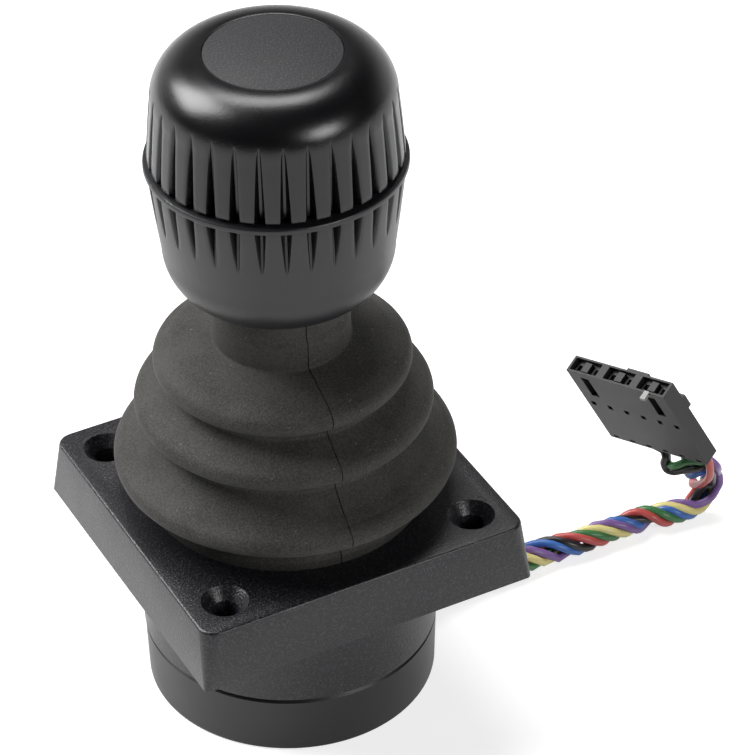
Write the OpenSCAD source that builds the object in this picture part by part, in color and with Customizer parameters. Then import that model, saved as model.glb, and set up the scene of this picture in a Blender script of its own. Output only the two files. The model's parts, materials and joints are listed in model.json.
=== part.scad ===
// Fingertip joystick for a control panel: two tilting axes, a twisting knob,
// a rubber boot and a six-wire harness. Millimetres, +Z up.
// Origin: centre of the lower cup's underside.

/* [Flange] */
// Side of the square flange at its underside
flange_w = 40.2; // [38:0.2:44]
// Side of the square flange at its top
flange_top_w = 39.2; // [37:0.2:43]
// Thickness of the flange
flange_t = 7.3; // [7:0.1:8]
// Radius of the flange's upright corners
flange_corner_r = 0.9; // [0.6:0.1:2]
// Softened top edge of the flange
flange_edge = 0.45; // [0.2:0.05:0.8]
// Distance between neighbouring mounting holes
hole_spacing = 30.2; // [30:0.1:32]
// Diameter of the mounting holes
hole_d = 2.8; // [2.4:0.1:3.2]
// Diameter of the countersinks at the top
hole_head_d = 5.2; // [4.6:0.1:6]

/* [Housing] */
// Height of the flange's underside above the base
underside_z = 18.2; // [18:0.1:19]
// Outer diameter of the round housing
housing_d = 33.4; // [33:0.1:34]
// Inner diameter of the housing
housing_bore = 30; // [29.6:0.1:30.4]
// Diameter of the opening that the stick passes through
throat_d = 14.6; // [14:0.1:15]
// Height of the lower cup
cup_h = 7.4; // [7.2:0.1:7.6]
// Diameter of the lower cup at its rim
cup_d = 33.2; // [33:0.1:33.4]
// Diameter of the lower cup at its foot
cup_foot_d = 32.8; // [32:0.1:33]
// Height of the seam between cup and housing
seam_h = 0.5; // [0.3:0.1:0.7]

/* [Boot] */
// Radius of the lowest, middle and highest fold
fold_r = [18.8, 16.55, 14.3]; // [10:0.05:20]
// Height of the lowest, middle and highest fold
fold_z = [30.7, 38.05, 43.6]; // [28:0.05:46]
// Radius of the boot's collar
neck_r = 7.15; // [7:0.05:7.5]
// Thickness of the rubber
boot_wall = 0.95; // [0.8:0.05:1.1]

/* [Stick] */
// Height of the two tilt axes
pivot_z = 18; // [17.8:0.1:18.2]
// Diameter of the stick's shaft
shaft_d = 5; // [4.8:0.1:5.2]
// Diameter of the pivot pins
pin_d = 3; // [2.8:0.1:3.2]
// Radial clearance of the running fits
run_gap = 0.05; // [0.02:0.01:0.08]

/* [Knob] */
// Height of the crown
crown_z = 81.8; // [81:0.1:83]
// Radius of the lip between the two shells
lip_r = 14; // [13.8:0.1:14.4]
// Height of the lip's lower face
lip_z = 68.5; // [68.3:0.1:68.7]
// Number of flutes round the knob
flutes = 32; // [24:1:36]
// Width of a flute 3 mm out from its root line
flute_w = 2.3; // [1.8:0.1:2.6]
// Height at which the upper flutes run out in the dome
flute_tip_z = 78.2; // [77.5:0.1:79]
// Radius of the disc in the crown
disc_r = 7.25; // [6.5:0.05:7.5]

/* [Harness] */
// Diameter of the twisted bundle of wires
bundle_d = 3; // [2.8:0.1:3.2]
// Distance between neighbouring contacts
contact_pitch = 2.54; // [2.54]
// Number of contacts
ways = 6; // [6]
// Width of the connector
connector_w = 14.8; // [14.7:0.05:15.2]
// Length of the connector from its mating face to its wire end
connector_l = 13.3; // [13:0.1:14.4]
// Thickness of the connector
connector_t = 2.2; // [2.1:0.05:2.6]

/* [Hidden] */
$fn = 64;
e = 0.01;
flange_z = underside_z + flange_t;
housing_z = cup_h + seam_h;
ceiling_z = flange_z - 2.5;
housing_r = housing_d / 2;
bore_r = housing_bore / 2;
corner_angles = [45, 135, 225, 315];
shaft_r = shaft_d / 2;
pin_r = pin_d / 2;
throat_r = throat_d / 2;

// cup and what it carries
cup_floor = 1.4;
spigot_r = bore_r - 0.05;
spigot_in = 13.9;
spigot_top = cup_h + 1.9;
post_ring = 12.4;
post_angles = [90, 210, 330];
screw_r = 1;
board_z = 3.2;
board_t = 1.2;
board_edge_x = 12;
board_post_ring = 10.8;
board_post_angles = [30, 150, 270];
exit_z = 4.6;
gland_seat_x = 16.2;
gland_in_x = 13.6;
gland_r = 2.3;

// connector: depth of the recesses in its mating face, side of a contact's
// cavity, and the keying tab
plug_top = connector_l / 2;
recess_d = 0.8;
cavity = 1.1;
key_x = 4.8;
key_w = 0.7;
key_t = 0.4;

// gimbal
plate_z = 11.3;
plate_t = 1.4;
gate_half = 5.4;
ring_out = 8.6;
ring_in = 6;
ring_h = 4;
bush_x = [9.2, 12.4];
bush_half_y = 3;
bush_z = [15.6, 20.6];
trunnion_end = 12.2;
hub_r = 5.65;
hub_h = 7.2;
holder_z = [6.2, 8.6];
holder_r = 3;

// boot: rounding of the folds, and how far outwards and upwards the sharp
// corner of each fold lies from its rounded rim
fold_round = 1.25;
fold_tip = [[1.2, 0.1], [0.9, 0.1], [1, 0.1]];
neck_top = 48.9;

// centring spring, collar and boot clamp on top of the flange
seat_t = 0.8;
seat_out = 9.7;
spring_r = 8.1;
spring_wire = 0.45;
spring_turns = 6;
collar_z = 38;
collar_t = 1.6;
collar_r = 9.2;
clamp_r = [10.2, 13.8];
clamp_step_r = 12.6;
clamp_screw_ring = 11.4;
clamp_screw_r = 0.8;

// handle
core_z = [44.5, 66];
core_r = 5.2;
core_pin_z = 57;
core_pin_r = 0.75;
shaft_top = 60;
thrust_z = 53.4;
rim_z = 52.6;
hub_z = [53.85, 63];
circlip_t = 0.8;
knob_hub_r = 6.6;
shell_post_ring = 9.6;
shell_post_angles = [60, 180, 300];
lip_t = 0.7;
shell_gap = 0.35;
carrier_z = [70.2, 72.6];
ceiling = 79.4;
disc_t = 0.9;
root_r = 12.4;
flute_root = 0.26;

// route of the harness: inside the cup, out through the gland, down to the
// surface, straight away from the base, then up and back into the connector
plug_pos = [46.4, 0, 18.1];
plug_turn = [24.6, -12.6, -70.5];
route = [
    [12, 0, 4.6], [16, 0, 4.6], [19.4, 0, 4.6], [21.5, 0, 4.2], [24, 0, 3.2],
    [27, 0, 2.1], [30, 0, 1.7], [33.5, 0.2, 1.6], [38, -0.3, 1.6], [42.5, -0.2, 1.6],
    [46.5, -0.2, 1.6], [50, -0.8, 1.6], [53.4, -1, 1.7], [55.8, -1, 2.4],
    [57.2, -1, 4], [57, -0.9, 5.9], [55.3, -0.8, 7], [53, -0.7, 7.7]
];

// ---------- outlines ----------

function xy(p) = [p[0], p[1]];
function unit(v) = v / norm(v);

// Arc of radius r that rounds the corner b between a and c
function corner_arc(a, b, c, r, n = 5) =
    let (u = unit(a - b),
         w = unit(c - b),
         half = acos(u * w) / 2,
         o = b + unit(u + w) * r / sin(half),
         p = b + u * r / tan(half) - o,
         q = b + w * r / tan(half) - o,
         turn = sign(cross(p, q)) * (180 - 2 * half))
    [for (k = [0:n])
        let (s = turn * k / n)
        o + [p[0] * cos(s) - p[1] * sin(s), p[0] * sin(s) + p[1] * cos(s)]];

// Outline through corners [radius, height, rounding]
function rounded(c) =
    [for (i = [0:len(c) - 1])
        each (c[i][2] == 0
            ? [xy(c[i])]
            : corner_arc(xy(c[i - 1]), xy(c[i]), xy(c[i + 1]), c[i][2]))];

// The same corners moved to the left by d, with their roundings adapted
function inset(c, d) =
    [for (i = [0:len(c) - 1])
        let (last = len(c) - 1,
             b = xy(c[i]),
             back = i > 0 ? unit(b - xy(c[i - 1])) : unit(xy(c[1]) - b),
             ahead = i < last ? unit(xy(c[i + 1]) - b) : back,
             n0 = [-back[1], back[0]],
             n1 = [-ahead[1], ahead[0]],
             m = unit(n0 + n1),
             p = b + m * d / (m * n0),
             r = c[i][2] == 0 ? 0 : max(0.2, c[i][2] - d * sign(cross(back, ahead))))
        [p[0], p[1], r]];

function reversed(p) = [for (i = [len(p) - 1:-1:0]) p[i]];

// Quarter ellipse from the widest point round to the axis side
function shoulder(r0, z0, a, b, n = 8) =
    [for (k = [0:n]) [r0 + a * cos(90 * k / n), z0 + b * sin(90 * k / n)]];

module ring(r_in, r_out, z, h)
    translate([0, 0, z])
        rotate_extrude()
            translate([r_in, 0])
                square([r_out - r_in, h]);

module at_ring(radius, angles)
    for (a = angles)
        rotate(a)
            translate([radius, 0, 0])
                children();

// Tube of radius r with n sides along points, closed at both ends.
// side is a vector across the first stretch.
module swept(points, r, n, side) {
    last = len(points) - 1;
    dir = [for (i = [0:last])
        unit(points[min(i + 1, last)] - points[max(i - 1, 0)])];
    frame_y = [for (i = 0, y = unit(cross(dir[0], side));
                    i <= last;
                    i = i + 1,
                    y = i <= last ? unit(y - (y * dir[i]) * dir[i]) : y) y];
    verts = [for (i = [0:last], k = [0:n - 1])
        let (x = cross(frame_y[i], dir[i]), a = 360 * k / n)
        points[i] + r * (cos(a) * x + sin(a) * frame_y[i])];
    sides = [for (i = [0:last - 1], k = [0:n - 1])
        let (a = i * n + k, b = i * n + (k + 1) % n)
        [a, a + n, b + n, b]];
    polyhedron(verts, concat(
        [[for (k = [0:n - 1]) k]],
        sides,
        [[for (k = [n - 1:-1:0]) last * n + k]]));
}

function helix(r, z0, z1, turns, steps) =
    [for (k = [0:turns * steps])
        let (a = 360 * k / steps)
        [r * cos(a), r * sin(a), z0 + (z1 - z0) * k / (turns * steps)]];

// ---------- base ----------

// One level of the flange: a square with round corners
module flange_level(side, z)
    for (x = [-1, 1], y = [-1, 1])
        translate([x * (side / 2 - flange_corner_r), y * (side / 2 - flange_corner_r), z])
            cylinder(r = flange_corner_r, h = e, $fn = 32);

module flange_block()
    hull() {
        flange_level(flange_w, underside_z);
        flange_level(flange_top_w, flange_z - flange_edge);
        flange_level(flange_top_w - 2 * flange_edge, flange_z - e);
    }

module mounting_hole() {
    translate([0, 0, underside_z - 1])
        cylinder(d = hole_d, h = flange_t + 2);
    translate([0, 0, flange_z - (hole_head_d - hole_d) / 2])
        cylinder(d1 = hole_d, d2 = hole_head_d + 0.02, h = (hole_head_d - hole_d) / 2 + e);
}

// Saddle in the housing that takes a trunnion bush from below
module saddle()
    difference() {
        translate([bush_x[0], -bush_half_y - 1.4, bush_z[0]])
            cube([bore_r - bush_x[0] + 0.5, 2 * bush_half_y + 2.8, ceiling_z - bush_z[0] + e]);
        translate([bush_x[0] - 1, -bush_half_y, bush_z[0] - 1])
            cube([bush_x[1] - bush_x[0] + 1, 2 * bush_half_y, bush_z[1] - bush_z[0] + 1]);
    }

module flange_housing() color("#1d1e20") {
    difference() {
        union() {
            difference() {
                union() {
                    flange_block();
                    translate([0, 0, housing_z])
                        rotate_extrude()
                            polygon([[0, 0], [housing_r - 0.3, 0], [housing_r, 0.3],
                                     [housing_r, underside_z - housing_z + 1],
                                     [0, underside_z - housing_z + 1]]);
                }
                translate([0, 0, housing_z - 1])
                    cylinder(r = bore_r, h = ceiling_z - housing_z + 1);
            }
            at_ring(post_ring, post_angles)
                translate([0, 0, plate_z + plate_t])
                    cylinder(r = 2.7, h = ceiling_z - plate_z - plate_t + e);
            for (a = [0, 180])
                rotate(a)
                    saddle();
        }
        translate([0, 0, ceiling_z - 1])
            cylinder(r = throat_r, h = 5);
        at_ring(hole_spacing / sqrt(2), corner_angles)
            mounting_hole();
        at_ring(post_ring, post_angles)
            translate([0, 0, plate_z])
                cylinder(r = screw_r, h = 6.2);
        at_ring(clamp_screw_ring, corner_angles)
            translate([0, 0, flange_z - 2])
                cylinder(r = clamp_screw_r, h = 3);
    }
}

module bottom_cup() color("#232427") {
    difference() {
        union() {
            rotate_extrude()
                polygon(concat(
                    [[0, 0]],
                    rounded([[cup_foot_d / 2 - 3, 0, 0], [cup_foot_d / 2, 0, 0.4],
                             [cup_d / 2, cup_h - 0.3, 0]]),
                    [[cup_d / 2 - 0.3, cup_h], [spigot_r, cup_h], [spigot_r, spigot_top],
                     [spigot_in, spigot_top], [spigot_in, cup_h - 1.5], [14.9, cup_h - 2.5],
                     [14.9, cup_floor], [0, cup_floor]]));
            at_ring(post_ring, post_angles)
                translate([0, 0, cup_floor - 0.2])
                    cylinder(r = 2.2, h = plate_z - cup_floor + 0.2);
            at_ring(board_post_ring, board_post_angles)
                translate([0, 0, cup_floor - 0.2])
                    cylinder(r = 1.7, h = board_z - cup_floor + 0.2);
            intersection() {
                translate([gland_in_x, 0, exit_z])
                    rotate([0, 90, 0])
                        cylinder(r = 3.5, h = 4);
                cylinder(r = 16.3, h = cup_h);
            }
        }
        translate([gland_in_x - 1, 0, exit_z])
            rotate([0, 90, 0])
                cylinder(r = gland_r, h = 6);
        translate([gland_seat_x, 0, exit_z])
            rotate([0, 90, 0])
                cylinder(r = 3, h = 2);
        translate([gland_in_x - 2, 0, exit_z])
            rotate([0, 90, 0])
                cylinder(r = 2.9, h = 2);
        at_ring(post_ring, post_angles) {
            translate([0, 0, -1])
                cylinder(r = screw_r, h = 20);
            translate([0, 0, -1])
                cylinder(r = 2, h = 2.6);
        }
        at_ring(board_post_ring, [150, 270])
            translate([0, 0, cup_floor + 0.2])
                cylinder(r = 0.8, h = 4);
    }
}

module housing_seal() color("#0c0c0d")
    ring(spigot_r, 16.1, cup_h, seam_h);

module cup_screws() color("#b9bcc0")
    at_ring(post_ring, post_angles)
        difference() {
            union() {
                translate([0, 0, 0.3])
                    cylinder(r = 1.9, h = 1.3);
                translate([0, 0, 0.3])
                    cylinder(r = screw_r, h = 16.6);
            }
            translate([0, 0, -0.1])
                cylinder(r = 0.8, h = 1.1, $fn = 6);
        }

// Plate with the square gate that stops the stick's travel
module travel_limiter_plate() color("#c9ccd0")
    difference() {
        union() {
            translate([0, 0, plate_z])
                cylinder(r = bore_r - 0.1, h = plate_t);
            for (s = [-1, 1])
                translate([s * 11 - 1.4, -2.5, plate_z + plate_t - e])
                    cube([2.8, 5, bush_z[0] - plate_z - plate_t + e]);
        }
        translate([-gate_half, -gate_half, plate_z - 1])
            cube([2 * gate_half, 2 * gate_half, 4]);
        at_ring(post_ring, post_angles)
            translate([0, 0, plate_z - 1])
                cylinder(r = screw_r, h = 4);
    }

module trunnion_bushes() color("#d8d4c6")
    for (a = [0, 180])
        rotate(a)
            difference() {
                translate([bush_x[0], -bush_half_y, bush_z[0]])
                    cube([bush_x[1] - bush_x[0], 2 * bush_half_y, bush_z[1] - bush_z[0]]);
                translate([bush_x[0] - 1, 0, pivot_z])
                    rotate([0, 90, 0])
                        cylinder(r = pin_r + run_gap, h = 6);
            }

module sensor_board() color("#1f5c38")
    difference() {
        translate([0, 0, board_z])
            cylinder(r = 13.4, h = board_t);
        translate([board_edge_x, -15, board_z - 1])
            cube([10, 30, 4]);
        at_ring(post_ring, post_angles)
            translate([0, 0, board_z - 1])
                cylinder(r = 2.4, h = 4);
        at_ring(board_post_ring, [150, 270])
            translate([0, 0, board_z - 1])
                cylinder(r = 0.8, h = 4);
    }

module sensor_chips() color("#161616")
    at_ring(4, [0, 90, 180, 270])
        translate([-1.5, -1.5, board_z + board_t])
            cube([3, 3, 0.8]);

module board_screws() color("#b9bcc0")
    at_ring(board_post_ring, [150, 270]) {
        translate([0, 0, board_z + board_t])
            cylinder(r = 1.5, h = 0.9);
        translate([0, 0, cup_floor + 0.2])
            cylinder(r = 0.8, h = board_z + board_t - cup_floor);
    }

module board_terminal() color("#e6e2d6")
    difference() {
        translate([9.2, -3.9, board_z + board_t])
            cube([board_edge_x - 9.2, 7.8, 2.6]);
        for (i = [0:ways - 1])
            translate([10.2, (i - 2.5) * 1.2 - 0.35, board_z + board_t + 1.2])
                cube([0.8, 0.7, 2]);
    }

// ---------- boot and spring ----------

// Corners of the boot's outside, from its foot to its collar
function boot_corners() = [
    [15.6, flange_z, 0],
    [15.6, flange_z + 1, 0.4],
    [14.9, flange_z + 1.9, 0.5],
    fold_corner(0),
    [16.5, fold_z[0] + 1.95, 3],
    [13.7, fold_z[0] + 2.4, 0.6],
    fold_corner(1),
    [14.3, fold_z[1] + 1.75, 3],
    [11.7, fold_z[1] + 2.1, 0.6],
    fold_corner(2),
    [12.1, fold_z[2] + 1.55, 3],
    [neck_r, 46.3, 1],
    [neck_r, neck_top, 0]
];

// Sharp corner of a fold that its rounding brings back to the fold's size
function fold_corner(i) =
    [fold_r[i] + fold_tip[i][0], fold_z[i] + fold_tip[i][1], fold_round];

module boot() color("#2b2b2c")
    rotate_extrude() {
        polygon(concat(
            rounded(boot_corners()),
            reversed(rounded(inset(boot_corners(), boot_wall)))));
        translate([core_r + 0.05, 46.4])
            square([neck_r - core_r - 0.5, 1]);
        translate([clamp_step_r + run_gap, flange_z])
            square([15 - clamp_step_r, 1]);
    }

module boot_clamp_ring() color("#8d9196")
    difference() {
        rotate_extrude()
            polygon([[clamp_r[0], flange_z], [clamp_step_r, flange_z],
                     [clamp_step_r, flange_z + 1], [clamp_r[1], flange_z + 1],
                     [clamp_r[1], flange_z + 1.8], [clamp_r[0], flange_z + 1.8]]);
        at_ring(clamp_screw_ring, corner_angles)
            translate([0, 0, flange_z - 1])
                cylinder(r = clamp_screw_r, h = 4);
    }

module clamp_ring_screws() color("#b9bcc0")
    at_ring(clamp_screw_ring, corner_angles) {
        translate([0, 0, flange_z + 1.8])
            cylinder(r = 1.1, h = 0.8);
        translate([0, 0, flange_z - 1.9])
            cylinder(r = clamp_screw_r, h = 3.8);
    }

module spring_seat() color("#c9ccd0")
    ring(throat_r + 0.1, seat_out, flange_z, seat_t);

module centring_spring() color("#a9adb2")
    swept(helix(spring_r, flange_z + seat_t + spring_wire + 0.02,
                collar_z - spring_wire - 0.05, spring_turns, 18),
          spring_wire, 6, [1, 0, 0]);

// ---------- harness ----------

// Grommet: a spool round the wires with a short tapered sleeve outside
module cable_grommet() color("#111112")
    translate([0, 0, exit_z])
        rotate([0, 90, 0])
            rotate_extrude()
                polygon([[bundle_d / 2, gland_in_x - 1], [2.8, gland_in_x - 1],
                         [2.8, gland_in_x], [gland_r, gland_in_x],
                         [gland_r, gland_seat_x], [2.9, gland_seat_x],
                         [2.9, gland_seat_x + 1], [2.4, gland_seat_x + 1.4],
                         [2, gland_seat_x + 3], [bundle_d / 2, gland_seat_x + 3]]);

module at_plug()
    translate(plug_pos)
        rotate(plug_turn)
            children();

// Direction of the connector's upright axis
function turned_z(a) =
    [cos(a[2]) * sin(a[1]) * cos(a[0]) + sin(a[2]) * sin(a[0]),
     sin(a[2]) * sin(a[1]) * cos(a[0]) - cos(a[2]) * sin(a[0]),
     cos(a[1]) * cos(a[0])];

module wire_harness() color("#2f3a5c") {
    wire_end = plug_pos - turned_z(plug_turn) * plug_top;
    swept(concat(route, [wire_end - 2.4 * turned_z(plug_turn), wire_end]),
          bundle_d / 2, 8, [0, 1, 0]);
}

// Children at each contact of the connector
module at_ways()
    for (i = [0:ways - 1])
        translate([(i - (ways - 1) / 2) * contact_pitch, 0, 0])
            children();

// Connector in its own frame: width along X, mating face up. The mating face
// has a recess for each pair of contacts, with a block between the two.
module connector_body()
    difference() {
        union() {
            translate([-connector_w / 2, -connector_t / 2, -plug_top])
                cube([connector_w, connector_t, connector_l]);
            translate([0.4, connector_t / 2 - e, plug_top - 1])
                cube([3.2, 0.3, 1]);
            translate([connector_w / 2 - 1.5, connector_t / 2 - e, plug_top - 4.8])
                cube([1.5, 0.5, 1.9]);
        }
        for (x = [-2, 0, 2] * contact_pitch)
            difference() {
                translate([x - 2, -0.85, plug_top - recess_d])
                    cube([4, 1.7, 2]);
                translate([x - 0.5, -0.65, plug_top - recess_d - e])
                    cube([1, 1.3, recess_d - 0.15]);
            }
        at_ways() {
            translate([-cavity / 2, -cavity / 2, -plug_top - 1])
                cube([cavity, cavity, connector_l - recess_d + 0.6]);
            translate([-0.38, -0.38, 0])
                cube([0.76, 0.76, plug_top]);
            translate([-0.35, -connector_t / 2 - 1, 0.1])
                cube([0.7, 1.5, 0.7]);
            translate([-0.4, -connector_t / 2 - 1, -plug_top + 0.25])
                cube([0.8, 1.5, 0.35]);
        }
        for (x = [-2, 2] * contact_pitch)
            translate([x - 0.55, -connector_t / 2 - 1, plug_top - 4.4])
                cube([1.1, 1.2, 3.9]);
        translate([key_x - key_w / 2, -connector_t / 2 - 1, plug_top - key_t])
            cube([key_w, 1.3, 1]);
    }

module connector_housing() color("#3a3c40")
    at_plug()
        connector_body();

// Box terminals, one for each wire
module connector_contacts() color("#c4c6c8")
    at_plug()
        at_ways()
            difference() {
                translate([-cavity / 2, -cavity / 2, -plug_top + 1.6])
                    cube([cavity, cavity, connector_l - recess_d - 2]);
                translate([-0.33, -0.33, 1])
                    cube([0.66, 0.66, 10]);
            }

// Small tab in the near wall that shows which way round the connector goes
module connector_key() color("#b4b6b8")
    at_plug()
        translate([key_x - key_w / 2, -connector_t / 2 - 0.9, plug_top - key_t])
            cube([key_w, connector_t / 2 + 0.05, key_t]);

// ---------- gimbal ----------

module gimbal_ring() color("#9ea3a8")
    difference() {
        union() {
            ring(ring_in, ring_out, pivot_z - ring_h / 2, ring_h);
            for (a = [0, 180])
                rotate(a)
                    translate([ring_in + 1, 0, pivot_z])
                        rotate([0, 90, 0])
                            cylinder(r = pin_r, h = trunnion_end - ring_in - 1);
        }
        translate([0, -10, pivot_z])
            rotate([-90, 0, 0])
                cylinder(r = pin_r + run_gap, h = 20);
    }

// ---------- stick ----------

module pivot_hub() color("#d8d4c6")
    difference() {
        translate([0, 0, pivot_z])
            intersection() {
                sphere(r = hub_r);
                cylinder(r = hub_r, h = hub_h, center = true);
            }
        translate([0, 0, pivot_z - 6])
            cylinder(r = shaft_r, h = 12);
        translate([0, -10, pivot_z])
            rotate([-90, 0, 0])
                cylinder(r = pin_r, h = 20);
    }

module inner_pivot_pin() color("#b9bcc0")
    translate([0, -8.2, pivot_z])
        rotate([-90, 0, 0])
            cylinder(r = pin_r, h = 16.4);

module stick_shaft() color("#b9bcc0")
    difference() {
        translate([0, 0, holder_z[1]])
            cylinder(r = shaft_r, h = shaft_top - holder_z[1]);
        translate([0, 0, holder_z[1] - 1])
            cylinder(r = 1.2, h = 60);
        translate([0, -10, pivot_z])
            rotate([-90, 0, 0])
                cylinder(r = pin_r, h = 20);
        translate([-10, 0, core_pin_z])
            rotate([0, 90, 0])
                cylinder(r = core_pin_r, h = 20);
        ring(shaft_r - 0.5, shaft_r + 1, collar_z + collar_t, 0.6);
    }

module magnet_holder() color("#d8d4c6")
    difference() {
        union() {
            translate([0, 0, holder_z[0]])
                cylinder(r = holder_r, h = holder_z[1] - holder_z[0]);
            translate([0, 0, holder_z[1] - e])
                cylinder(r = 1.2, h = 4);
        }
        translate([0, 0, holder_z[0] - 1])
            cylinder(r = 2, h = 2.6);
    }

module tilt_magnet() color("#8e9296")
    translate([0, 0, holder_z[0]])
        cylinder(r = 2, h = 1.6);

module spring_collar() color("#d8d4c6")
    ring(shaft_r, collar_r, collar_z, collar_t);

module collar_clip() color("#6d7176")
    difference() {
        ring(shaft_r - 0.5, 4.2, collar_z + collar_t, 0.6);
        translate([0, -1.4, collar_z])
            cube([6, 2.8, 4]);
    }

module handle_core() color("#18191b")
    difference() {
        rotate_extrude()
            polygon([[0, core_z[0]], [core_r, core_z[0]], [core_r, 51.8],
                         [6.4, thrust_z - 0.6], [6.4, thrust_z], [core_r, thrust_z],
                         [core_r, hub_z[1] + run_gap], [core_r - 0.5, hub_z[1] + run_gap],
                         [core_r - 0.5, hub_z[1] + run_gap + circlip_t],
                         [core_r, hub_z[1] + run_gap + circlip_t],
                         [core_r, core_z[1]], [0, core_z[1]]]);
        translate([0, 0, core_z[0] - 1])
            cylinder(r = shaft_r, h = shaft_top - core_z[0] + 1);
        translate([-10, 0, core_pin_z])
            rotate([0, 90, 0])
                cylinder(r = core_pin_r, h = 20);
    }

module core_pin() color("#b9bcc0")
    translate([-5, 0, core_pin_z])
        rotate([0, 90, 0])
            cylinder(r = core_pin_r, h = 10);

module thrust_washer() color("#e6e2d6")
    ring(core_r, 6.4, thrust_z, hub_z[0] - thrust_z - run_gap);

module knob_retaining_ring() color("#6d7176")
    difference() {
        ring(core_r - 0.5, 6.3, hub_z[1] + run_gap, circlip_t);
        translate([0, -1.2, hub_z[1] - 1])
            cube([8, 2.4, 4]);
    }

module twist_sensor_board() color("#1f5c38")
    translate([0, 0, core_z[1]])
        cylinder(r = 6, h = 1);

module twist_sensor_chip() color("#161616")
    translate([-1.5, -1.5, core_z[1] + 1])
        cube([3, 3, 0.9]);

// ---------- knob ----------

// Wedge-shaped cutters round the knob. Their root line leans from radius
// r_low at height z_low to radius r_high at height z_high.
module flute_cutters(z_low, r_low, z_high, r_high)
    for (i = [0:flutes - 1])
        rotate(i * 360 / flutes)
            translate([r_low, 0, z_low])
                rotate([0, atan2(r_high - r_low, z_high - z_low), 0])
                    linear_extrude(height = norm([r_high - r_low, z_high - z_low]))
                        polygon([[0, -flute_root / 2], [3, -flute_w / 2], [3, flute_w / 2],
                                 [0, flute_root / 2]]);

function bowl_outline() = concat(
    [[7.3, rim_z], [7.95, rim_z], [8.05, rim_z + 0.1], [8.05, rim_z + 0.5], [7.8, rim_z + 0.5],
     [7.8, rim_z + 0.7]],
    reversed([for (p = shoulder(8.05, 0, 4.45, 5.3, 7)) [p[0], 58.6 - p[1]]]),
    [[13.1, 63.2], [13.6, 67.6], [13.6, lip_z], [lip_r - 0.1, lip_z],
     [lip_r, lip_z + 0.15], [lip_r, lip_z + lip_t - 0.15], [lip_r - 0.1, lip_z + lip_t]]);

module lower_knob_shell() color("#26282b")
    difference() {
        union() {
            difference() {
                rotate_extrude()
                    polygon(concat(
                        bowl_outline(),
                        [[12, lip_z + lip_t], [12, lip_z - 0.2], [11.8, 67.6], [11.4, 63.2], [10.9, 58.6],
                         [9.9, 56], [7.9, 54.6], [knob_hub_r, 54.6], [knob_hub_r, rim_z + 1.2],
                         [6.7, rim_z]]));
                flute_cutters(60, root_r + 0.95, lip_z - 0.12, root_r + 0.1);
            }
            ring(core_r + run_gap, knob_hub_r + 0.2, hub_z[0], hub_z[1] - hub_z[0]);
            at_ring(shell_post_ring, shell_post_angles)
                translate([0, 0, 55])
                    cylinder(r = 1.8, h = lip_z - 55);
        }
        at_ring(shell_post_ring, shell_post_angles) {
            translate([0, 0, 50])
                cylinder(r = 0.9, h = 30);
            translate([0, 0, 50])
                cylinder(r = 1.6, h = 6.6);
        }
    }

function dome_outline() = concat(
    [[13.55, lip_z + lip_t + shell_gap], [13.3, 73], [12.95, 76.6]],
    [for (p = shoulder(7.6, 76.6, 5.35, crown_z - 76.6, 8)) if (p[0] < 12.9) p]);

module upper_knob_shell() color("#26282b")
    difference() {
        union() {
            difference() {
                rotate_extrude()
                    polygon(concat(
                        dome_outline(),
                        [[disc_r + 0.03, crown_z], [disc_r + 0.03, crown_z - disc_t],
                         [2.2, crown_z - disc_t], [2.2, ceiling], [1, ceiling],
                         [1, carrier_z[1]], [3.4, carrier_z[1]], [3.4, ceiling],
                         [7.6, ceiling], [10.2, ceiling - 1], [11.3, 76.2], [11.7, 73],
                         [11, lip_z + lip_t + shell_gap], [11, lip_z],
                         [11.9, lip_z], [11.9, lip_z + lip_t + shell_gap]]));
                flute_cutters(lip_z + lip_t, root_r, flute_tip_z, root_r + 0.32);
            }
            at_ring(shell_post_ring, shell_post_angles)
                translate([0, 0, lip_z])
                    cylinder(r = 1.8, h = ceiling - lip_z - 0.4);
        }
        at_ring(shell_post_ring, shell_post_angles)
            translate([0, 0, lip_z - 1])
                cylinder(r = 0.9, h = 6.1);
        translate([0, 0, 70])
            cylinder(r = 1, h = 20);
    }

module crown_disc() color("#2e3033")
    translate([0, 0, crown_z - disc_t])
        rotate_extrude()
            polygon([[0, 0], [disc_r, 0], [disc_r, disc_t - 0.12],
                     [disc_r - 0.12, disc_t], [0, disc_t]]);

module shell_screws() color("#b9bcc0")
    at_ring(shell_post_ring, shell_post_angles) {
        translate([0, 0, 55.2])
            cylinder(r = 1.5, h = 1.4);
        translate([0, 0, 55.2])
            cylinder(r = 0.9, h = 18.2);
    }

module crown_screw() color("#b9bcc0") {
    translate([0, 0, ceiling])
        cylinder(r = 2, h = 1.3);
    translate([0, 0, carrier_z[0] + 1.4])
        cylinder(r = 1, h = ceiling - carrier_z[0]);
}

module twist_magnet_carrier() color("#d8d4c6")
    difference() {
        translate([0, 0, carrier_z[0]])
            cylinder(r = 4.2, h = carrier_z[1] - carrier_z[0]);
        translate([0, 0, carrier_z[0] - 1])
            cylinder(r = 3, h = 2.2);
        translate([0, 0, carrier_z[0] + 1.4])
            cylinder(r = 1, h = 3);
    }

module twist_magnet() color("#8e9296")
    translate([0, 0, carrier_z[0] - 0.6])
        cylinder(r = 3, h = 1.8);

module twist_return_spring() color("#a9adb2")
    swept(helix(7.4, 57.6, 61.4, 5, 16), 0.28, 6, [1, 0, 0]);

// ---------- assembly ----------

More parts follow.
